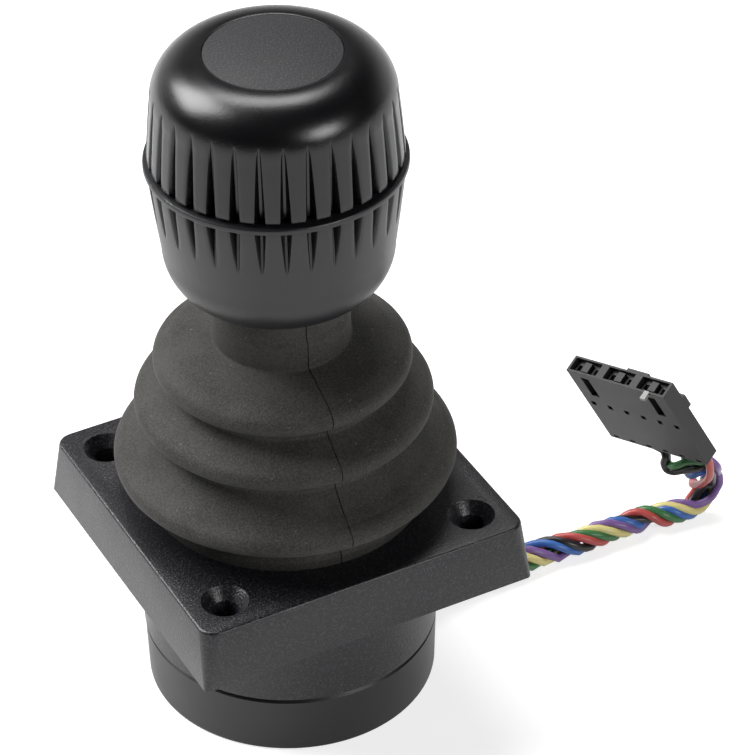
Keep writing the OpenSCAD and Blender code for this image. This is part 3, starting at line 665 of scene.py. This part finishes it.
def press_flutes(obj, rows, cone, edge):
    """Presses a wedge-shaped flute into the given rows at each FLUTES-th part of the round.

    Each row's vertices move sideways, so that they lie along the flute's root, up its flank and
    round the rib's edge. Where a flute isn't deep, its root and edges narrow with it.
    """
    kept = {(round(r / MM, 3), round(z / MM, 3)) for r, z in rows}
    sector = 2 * math.pi / FLUTES
    for vertex in obj.data.vertices:
        x, y, z = vertex.co
        radius = math.hypot(x, y)
        if (round(radius / MM, 3), round(z / MM, 3)) not in kept:
            continue
        angle = math.atan2(y, x)
        middle = round(angle / sector) * sector
        column = round((angle - middle) / sector * FLUTE_COLUMNS)
        depth = max(0, radius - root_radius(cone, z))
        q = min(1, depth / (DEEP * MM))
        foot = (ROOT_END + ROOT_GROWTH * q) * MM
        brow = foot + FLANK_FOOT * MM + FLANK_LEAN * depth
        half = radius * math.sin(sector / 2)
        # How far each column is aside and sunk, from the flute's middle to the rib's
        ways = [(0, depth), (0.6 * foot, depth), (foot, depth),
                ((foot + brow) / 2, depth / 2), (brow - edge * 0.4, min(depth, edge * 1.6) * q),
                (brow + edge * 0.2, min(depth, edge * 0.5) * q), (brow + edge * 1.4, 0),
                ((brow + edge + half) / 2, 0), (half, 0)]
        side, sink = ways[abs(column)]
        turn = middle + math.copysign(math.asin(side / (radius - sink)), column)
        vertex.co = ((radius - sink) * math.cos(turn), (radius - sink) * math.sin(turn), z)


class JOYSTICK_OT_knob(bpy.types.Operator):
    """Fluted knob: a bowl with a lip, a domed upper shell and the disc in its crown"""
    bl_idname = "joystick.knob"
    bl_label = "Knob"

    def execute(self, context):
        edge = context.scene.joystick.rib_edge
        steps = FLUTES * FLUTE_COLUMNS
        bowl = bowl_outline()
        lip = rounded([(13.62, 68.5, 0), (14, 68.5, 0.15), (14, 69.2, 0.2), (12, 69.2, 0)], 3)
        inside = [(11.95, 68.3), (11.8, 67.6), (11.4, 63.2), (10.9, 58.6), (9.9, 56), (7.9, 54.6),
                  (6.8, 54.6), (6.8, 52.8), (6.95, 52.62), (7.2, 52.6)]
        lower = turned("lower_shell", bowl + lip[1:] + in_metres(inside), steps)
        press_flutes(lower, [p for p in bowl if p[1] > LOWER_FLUTES_FROM * MM], LOWER_ROOT, edge)
        smooth(lower)
        dress(lower, "knob", "knob_plastic", MATERIALS["knob_plastic"], "lower_knob_shell")

        dome = dome_outline()
        recess = [(7.45, 81.8), (7.35, 81.77), (7.31, 81.68), (7.31, 80.9), (2.2, 80.9), (2.2, 79.4),
                  (7.6, 79.4), (10.2, 78.4), (11.3, 76.2), (11.7, 73), (11.3, 69.6), (12.1, 69.55)]
        foot = in_metres([(13.4, 69.55), (13.5, 69.6)])
        upper = turned("upper_shell", dome + in_metres(recess) + foot, steps)
        press_flutes(upper, [p for p in dome if p[1] < UPPER_FLUTES_TO * MM] + foot, UPPER_ROOT, edge)
        smooth(upper)
        dress(upper, "knob", "knob_plastic", MATERIALS["knob_upper"], "upper_knob_shell")

        low, high = CROWN[0].z, CROWN[1].z
        plate = [(0.0001, low), (7.24, low), (7.28, low + 0.05 * MM), (7.28, high - 0.08 * MM),
                 (7.26, high - 0.02 * MM), (7.21, high), (0.0001, high)]
        disc = turned("crown_plate", [(r * MM, z) for r, z in plate], 128, closed=False)
        smooth(disc)
        dress(disc, "knob", "disc_plastic", MATERIALS["disc_plastic"], "crown_disc")
        return {"FINISHED"}


# ---------- boot ----------

# Radius and height of each fold's tip, from the lowest up, how far its sharp corner is past the tip,
# and the tip's rounding. All of the boot's sizes are in millimetres.
FOLDS = [(18.8, 30.7), (16.55, 38.05), (14.3, 43.6)]
FOLD_TIP = [(1.2, 0.1), (0.9, 0.1), (1, 0.1)]
FOLD_ROUND = 1.25
BOOT_WALL = 0.95

# The collar is a thicker ring below and a neck above it that ends just under the knob's rim
NECK_R = 7.15
NECK_TOP = 52.1
RING_R = NECK_R + 0.35

# The two pieces of the boot meet this far above the lowest fold's tip
SPLIT_RISE = 1.6

# Height in millimetres from which the real boot follows the stick. The pieces made here don't follow it, and
# this height isn't used.
BOOT_HELD = 42

BOOT_STEPS = 160

# Direction of the mould's parting plane, and the groove that it leaves: (aside, deep) for each column
SEAM = math.radians(85.5)
SEAM_COLUMNS = [(0, 0.13), (0.06, -0.015), (0.15, 0)]


def fold_corner(i):
    (r, z), (out, up) = FOLDS[i], FOLD_TIP[i]
    return r + out, z + up, FOLD_ROUND


def boot_outside():
    """Corners of the boot's outside from foot to collar: (radius, height, rounding)."""
    z1, z2, z3 = (z for r, z in FOLDS)
    return [(15.6, 25.5, 0), (15.6, 26.5, 0.4), (14.9, 27.4, 0.5), fold_corner(0),
            (16.4, z1 + 2.4, 3), (13.9, z1 + 4.6, 0.5), fold_corner(1),
            (14.3, z2 + 1.75, 3), (12, z2 + 3.1, 0.5), fold_corner(2),
            (12.1, z3 + 1.55, 3), (RING_R, 46.3, 0.4), (RING_R, 49.2, 0.9),
            (NECK_R, 49.9, 0.3), (NECK_R, NECK_TOP, 0)]


def boot_inside(outer):
    """The same corners one wall further in."""
    moved = []
    for i, (r, z, rounding) in enumerate(outer):
        b = Vector((r, z))
        back = (b - Vector(outer[i - 1][:2])).normalized() if i else None
        ahead = (Vector(outer[i + 1][:2]) - b).normalized() if i < len(outer) - 1 else back
        back = back or ahead
        left = [Vector((-d.y, d.x)) for d in (back, ahead)]
        mid = (left[0] + left[1]).normalized()
        p = b + mid * BOOT_WALL / mid.dot(left[0])
        bend = math.copysign(1, back.cross(ahead))
        moved.append((p.x, p.y, max(0.2, rounding - BOOT_WALL * bend) if rounding else 0))
    return moved


def parted_at(outline, height):
    """The parts of a climbing outline below and above a height, both with the point at it."""
    i = max(k for k, (r, z) in enumerate(outline) if z < height)
    (r0, z0), (r1, z1) = outline[i:i + 2]
    middle = (r0 + (r1 - r0) * (height - z0) / (z1 - z0), height)
    return outline[:i + 1] + [middle], [middle] + outline[i + 1:]


def press_seam(obj):
    """Draws the columns beside the mould's parting plane together into a fine groove."""
    sector = 2 * math.pi / BOOT_STEPS
    moved = []
    for vertex in obj.data.vertices:
        x, y, z = vertex.co
        column = round((math.atan2(y, x) - SEAM) / sector)
        offset = (column + BOOT_STEPS // 4) % (BOOT_STEPS // 2) - BOOT_STEPS // 4
        if abs(offset) < len(SEAM_COLUMNS):
            side, sink = SEAM_COLUMNS[abs(offset)]
            radius = math.hypot(x, y)
            turn = SEAM + (column - offset) * sector + math.copysign(side * MM / radius, offset)
            place = Vector((radius * math.cos(turn), radius * math.sin(turn), z))
            moved.append((vertex, place - vertex.normal * sink * MM))
    for vertex, place in moved:
        vertex.co = place


class JOYSTICK_OT_boot(bpy.types.Operator):
    """Rubber boot with three folds, split above its lowest fold where it crosses the two tilt axes"""
    bl_idname = "joystick.boot"
    bl_label = "Boot"

    def execute(self, context):
        corners = boot_outside()
        outer = rounded(corners, 8)
        inner = rounded(boot_inside(corners), 8)
        # The collar's end is rounded over the wall's thickness
        top = outer[-1][1]
        lip = [(NECK_R * MM, top - 0.35 * MM), ((NECK_R - 0.1) * MM, top - 0.1 * MM),
               ((NECK_R - 0.35) * MM, top), ((NECK_R - 0.6) * MM, top),
               ((NECK_R - 0.85) * MM, top - 0.1 * MM), ((NECK_R - 0.95) * MM, top - 0.35 * MM)]
        split = (FOLDS[0][1] + SPLIT_RISE) * MM
        (outer_low, outer_high), (inner_low, inner_high) = (parted_at(line, split) for line in (outer, inner))
        lower = outer_low + inner_low[::-1]
        upper = outer_high[:-1] + lip + inner_high[-2::-1]
        for name, outline, low, high, a, b in (
                ("boot_lower", lower, BOOT[0].z + 1 * MM, split, "base", "gimbal"),
                ("boot_upper", upper, split, BOOT_HELD * MM, "gimbal", "stick")):
            skirt = turned(name, outline, BOOT_STEPS)
            press_seam(skirt)
            smooth(skirt, 60)
            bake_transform(skirt)
            dress(skirt, None, "rubber", MATERIALS["rubber"], "boot")
        return {"FINISHED"}


# ---------- housing ----------

def flange_block(name, side, edge):
    """The square flange: drafted sides, corners rounder at the top, and rounded top and bottom edges."""
    deselect()
    bpy.ops.mesh.primitive_cube_add(size=1, location=(0, 0, UNDERSIDE + FLANGE_T / 2),
                                    scale=(side, side, FLANGE_T))
    body = named(name)
    edit_part(body, "edges", is_upright)
    bpy.ops.mesh.bevel(offset=CORNER_TOP, segments=8)
    object_mode()
    for vertex in body.data.vertices:
        if vertex.co.z < UNDERSIDE + 0.01 * MM:
            for axis in (0, 1):
                centre = math.copysign(side / 2 - CORNER_TOP, vertex.co[axis])
                foot = math.copysign(side / 2 - CORNER_FOOT, vertex.co[axis])
                vertex.co[axis] = foot + (vertex.co[axis] - centre) * CORNER_FOOT / CORNER_TOP
    edit_part(body, "verts", lambda v: v.co.z > FLANGE_TOP - 0.01 * MM)
    bpy.ops.transform.resize(value=(FLANGE_DRAFT, FLANGE_DRAFT, 1), center_override=(0, 0, FLANGE_TOP))
    object_mode()
    edit_part(body, "edges", lambda e: lies_at(e, FLANGE_TOP))
    bpy.ops.mesh.bevel(offset=edge, segments=5)
    object_mode()
    edit_part(body, "edges", lambda e: lies_at(e, UNDERSIDE))
    bpy.ops.mesh.bevel(offset=FLANGE_FOOT_EDGE, segments=2)
    object_mode()
    return body


class JOYSTICK_OT_housing(bpy.types.Operator):
    """Square flange with countersunk holes on a round housing"""
    bl_idname = "joystick.housing"
    bl_label = "Flange and housing"

    def execute(self, context):
        low, high = HOUSING
        body = flange_block("flange_and_housing", high.x - low.x, context.scene.joystick.flange_edge)
        carve(body, turned("drum", in_metres(DRUM), 160, closed=False), "UNION")
        carve(body, turned("bore", in_metres(BORE), 96, closed=False))
        drill = turned("drill", in_metres(SCREW_HOLE), 48, closed=False)
        for x in (-HOLE_AT, HOLE_AT):
            for y in (-HOLE_AT, HOLE_AT):
                tool = drill.copy()
                tool.data = drill.data.copy()
                context.scene.collection.objects.link(tool)
                tool.data.transform(Matrix.Translation((x, y, 0)))
                carve(body, tool)
        bpy.data.objects.remove(drill)
        smooth(body)
        dress(body, "base", "housing_plastic", MATERIALS["housing_plastic"], "flange_housing")
        return {"FINISHED"}


# ---------- connector ----------

class JOYSTICK_OT_connector(bpy.types.Operator):
    """Flat six-way connector with recessed contacts, latch windows and a keying tab"""
    bl_idname = "joystick.connector"
    bl_label = "Connector"

    def execute(self, context):
        w, t, h = PLUG_SIZE / MM / 2
        body = block("connector", (-w, -t, -h), (w, t, h))
        # A low rib and a latch ramp on the back
        carve(body, block("rib", (0.4, t - 0.1, h - 1), (3.6, t + 0.3, h - 0.02)), "UNION")
        carve(body, block("ramp", (w - 1.5, t - 0.1, h - 4.8), (w - 0.02, t + 0.5, h - 2.9)), "UNION")
        # Three recesses in the mating end, each round a stand between two contacts
        for x in (-2 * PITCH / MM, 0, 2 * PITCH / MM):
            recess = block("recess", (x - 2, -0.85, h - 0.8), (x + 2, 0.85, h + 1))
            carve(recess, block("stand", (x - 0.5, -0.65, h - 1), (x + 0.5, 0.65, h - 0.15)))
            carve(body, recess)
        # Each contact's cavity, its way in, the window over its latch and a notch at the wires' end
        for i in range(WAYS):
            x = (i - 2.5) * PITCH / MM
            carve(body, block("cavity", (x - 0.55, -0.55, -h - 1), (x + 0.55, 0.55, h - 1.2)))
            carve(body, block("entry", (x - 0.38, -0.38, h - 2), (x + 0.38, 0.38, h + 1)))
            carve(body, block("window", (x - 0.35, -t - 1, 0.1), (x + 0.35, 0, 0.8)))
            carve(body, block("notch", (x - 0.4, -t - 1, -h + 0.25), (x + 0.4, 0, -h + 0.6)))
        # Two guide slots in the front and the key's seat
        for x in (-2 * PITCH / MM, 2 * PITCH / MM):
            carve(body, block("slot", (x - 0.6, -t - 1, h - 4.4), (x + 0.6, -t + 0.7, h - 0.9)))
        carve(body, block("seat", (4.45, -t - 1, h - 0.4), (5.15, -0.8, h + 1)))
        finished_with(body, "BEVEL", {
            "width": PLUG_EDGE, "segments": 2, "limit_method": "ANGLE", "angle_limit": math.radians(40),
            "miter_outer": "MITER_ARC"})
        body.data.transform(PLUG)
        dress(body, "base", "connector_plastic", MATERIALS["connector_plastic"], "connector_housing")
        return {"FINISHED"}


# ---------- carried-over solids ----------

class JOYSTICK_OT_solids(bpy.types.Operator):
    """Gives each solid that stays in view or inside the housing the finish of its own material"""
    bl_idname = "joystick.solids"
    bl_label = "Finish the solids"

    def execute(self, context):
        for part in frame["record"]["subparts"]:
            slot = part["material_slot"]
            if slot in MATERIALS:
                solid = frame["nodes"][part["node"]]
                solid.data.materials.clear()
                solid.data.materials.append(MATERIALS[slot])
        return {"FINISHED"}


# ---------- stage ----------

# Camera: its height angle, tilt and distance, and how far its aim is right of and above the flange's middle
ELEVATION = math.radians(37.2)
ROLL = math.radians(-0.78)
DISTANCE = 418.3 * MM
AIM_RIGHT = 10.11 * MM
AIM_UP = 11.48 * MM
LENS = 179.07
SENSOR = 36

# The lamps are aimed at this height
LIT_HEIGHT = 45 * MM

# Direction from the joystick to the middle of the white backdrop
BACKDROP_WAY = (0.438, 0.899, 0)


def soft_light(name, azimuth, elevation, distance, size, power):
    """A softbox aimed at the joystick, with angles in degrees, lengths in metres and power in watts."""
    lamp = bpy.data.lights.new(name, "AREA")
    lamp.shape = "RECTANGLE"
    lamp.size, lamp.size_y = size
    lamp.energy = power
    obj = bpy.data.objects.new(name, lamp)
    bpy.context.scene.collection.objects.link(obj)
    azimuth, elevation = math.radians(azimuth), math.radians(elevation)
    away = Vector((math.cos(elevation) * math.cos(azimuth), math.cos(elevation) * math.sin(azimuth),
                   math.sin(elevation)))
    obj.location = Vector((0, 0, LIT_HEIGHT)) + away * distance
    obj.rotation_euler = away.to_track_quat("Z", "Y").to_euler()
    return obj


def seen_directly(tree, rays):
    """1 for a ray from the camera, also through glass, and 0 for others."""
    return add(tree, "ShaderNodeMath", {"operation": "MAXIMUM"},
               {0: rays.outputs["Is Camera Ray"], 1: rays.outputs["Is Transmission Ray"]}).outputs[0]


class JOYSTICK_OT_camera(bpy.types.Operator):
    """Camera in front of the flange's near corner, looking down on the joystick"""
    bl_idname = "joystick.camera"
    bl_label = "Camera"

    def execute(self, context):
        azimuth = context.scene.joystick.view_angle
        back = Vector((math.sin(azimuth) * math.cos(ELEVATION), -math.cos(azimuth) * math.cos(ELEVATION),
                       math.sin(ELEVATION)))
        right = (-back).cross(Vector((0, 0, 1))).normalized()
        up = right.cross(-back)
        tilted_right = math.cos(ROLL) * right + math.sin(ROLL) * up
        tilted_up = math.cos(ROLL) * up - math.sin(ROLL) * right
        aim = Vector((0, 0, FLANGE_TOP)) + tilted_right * AIM_RIGHT + tilted_up * AIM_UP
        data = bpy.data.cameras.new("camera")
        data.lens = LENS
        data.sensor_width = SENSOR
        data.clip_start = 10 * MM
        camera = bpy.data.objects.new("camera", data)
        context.scene.collection.objects.link(camera)
        turn = Matrix((tilted_right, tilted_up, back)).transposed()
        camera.matrix_world = Matrix.LocRotScale(aim + back * DISTANCE, turn.to_quaternion(), None)
        context.scene.camera = camera
        return {"FINISHED"}


def make_floor():
    """A matt board under the joystick, which runs out into the white backdrop beyond its shadow."""
    deselect()
    bpy.ops.mesh.primitive_plane_add(size=4, location=(0, 0, CAD_BOX[0].z - 0.02 * MM))
    floor = named("floor")
    paint, tree, shader, place = surface("matt white board", linear("#C8C8C8"), 0.95, {
        "Specular IOR Level": 0.2})
    grain = add(tree, "ShaderNodeTexNoise", {"Scale": 1 / (2 * MM)}, {"Vector": place})
    bump = add(tree, "ShaderNodeBump", {"Distance": 0.01 * MM}, {"Height": grain.outputs["Fac"]})
    tree.links.new(bump.outputs["Normal"], shader.inputs["Normal"])
    rays = add(tree, "ShaderNodeLightPath")
    seen = add(tree, "ShaderNodeMath", {"operation": "MULTIPLY_ADD", 1: 0.62},
               {0: rays.outputs["Is Glossy Ray"], 2: seen_directly(tree, rays)}).outputs[0]
    reach = add(tree, "ShaderNodeVectorMath", {"operation": "LENGTH"}, {0: place})
    fade = add(tree, "ShaderNodeMapRange", {"From Min": 0.12, "From Max": 0.4, "To Min": 0.7, "To Max": 1},
               {"Value": reach.outputs["Value"]})
    glow = add(tree, "ShaderNodeMath", {"operation": "MULTIPLY"}, {0: seen, 1: fade.outputs["Result"]})
    shader.inputs["Emission Color"].default_value = linear("#FFFFFF")
    tree.links.new(glow.outputs[0], shader.inputs["Emission Strength"])
    floor.data.materials.append(paint)
    return floor


def make_surroundings():
    """White to the eye and a dim room to the joystick, with a low white backdrop that its gloss shows."""
    world = bpy.data.worlds.new("surroundings")
    world.use_nodes = True
    tree = world.node_tree
    tree.nodes.clear()
    rays = add(tree, "ShaderNodeLightPath")
    direction = add(tree, "ShaderNodeTexCoord").outputs["Generated"]
    height = add(tree, "ShaderNodeSeparateXYZ", {}, {0: direction}).outputs["Z"]
    beyond = add(tree, "ShaderNodeVectorMath", {"operation": "DOT_PRODUCT", 1: BACKDROP_WAY},
                 {0: direction}).outputs["Value"]
    low = add(tree, "ShaderNodeMapRange", {"From Min": 0.45, "From Max": 0.05}, {"Value": height})
    back = add(tree, "ShaderNodeMapRange", {"From Min": 0.2, "From Max": 0.7}, {"Value": beyond})
    sweep = add(tree, "ShaderNodeMath", {"operation": "MULTIPLY"},
                {0: low.outputs["Result"], 1: back.outputs["Result"]})
    mirrored = add(tree, "ShaderNodeMath", {"operation": "MULTIPLY"},
                   {0: rays.outputs["Is Glossy Ray"], 1: sweep.outputs[0]})
    white_part = add(tree, "ShaderNodeMath", {"operation": "MAXIMUM"},
                     {0: seen_directly(tree, rays), 1: mirrored.outputs[0]})
    fill = add(tree, "ShaderNodeBackground", {"Color": linear("#FFFFFF"), "Strength": 0.03})
    white = add(tree, "ShaderNodeBackground", {"Color": linear("#FFFFFF"), "Strength": 1})
    mix = add(tree, "ShaderNodeMixShader", {},
              {0: white_part.outputs[0], 1: fill.outputs[0], 2: white.outputs[0]})
    add(tree, "ShaderNodeOutputWorld", {}, {"Surface": mix.outputs[0]})
    return world


class JOYSTICK_OT_stage(bpy.types.Operator):
    """Pale floor, white surroundings and soft lamps"""
    bl_idname = "joystick.stage"
    bl_label = "Floor and lights"

    def execute(self, context):
        floor = make_floor()
        context.scene.world = make_surroundings()
        soft_light("left_softbox", azimuth=135, elevation=45, distance=0.7, size=(0.42, 0.42), power=7.5)
        soft_light("back_softbox", azimuth=72, elevation=66, distance=0.75, size=(0.42, 0.28), power=3.5)
        soft_light("right_softbox", azimuth=290, elevation=26, distance=0.7, size=(0.27, 0.2), power=2)
        return {"FINISHED"}


# ---------- panel and run ----------

STEPS = ("camera", "harness", "solids", "knob", "boot", "housing", "connector", "stage")


class JOYSTICK_PT_panel(bpy.types.Panel):
    """Sizes and colours of the joystick's looks and the steps that make them"""
    bl_idname = "JOYSTICK_PT_panel"
    bl_label = "Joystick"
    bl_space_type = "VIEW_3D"
    bl_region_type = "UI"
    bl_category = "Joystick"

    def draw(self, context):
        for name in JoystickSizes.__annotations__:
            self.layout.prop(context.scene.joystick, name)
        for step in STEPS:
            self.layout.operator("joystick." + step)


CLASSES = (JoystickSizes, JOYSTICK_OT_camera, JOYSTICK_OT_harness, JOYSTICK_OT_solids, JOYSTICK_OT_knob,
           JOYSTICK_OT_boot, JOYSTICK_OT_housing, JOYSTICK_OT_connector, JOYSTICK_OT_stage,
           JOYSTICK_PT_panel)


def register():
    for cls in CLASSES:
        bpy.utils.register_class(cls)
    bpy.types.Scene.joystick = bpy.props.PointerProperty(type=JoystickSizes)


def unregister():
    del bpy.types.Scene.joystick
    for cls in reversed(CLASSES):
        bpy.utils.unregister_class(cls)


def main():
    register()
    bpy.context.scene.view_settings.view_transform = "Standard"
    make_materials()
    for step in STEPS:
        getattr(bpy.ops.joystick, step)()


if __name__ == "__main__":
    main()
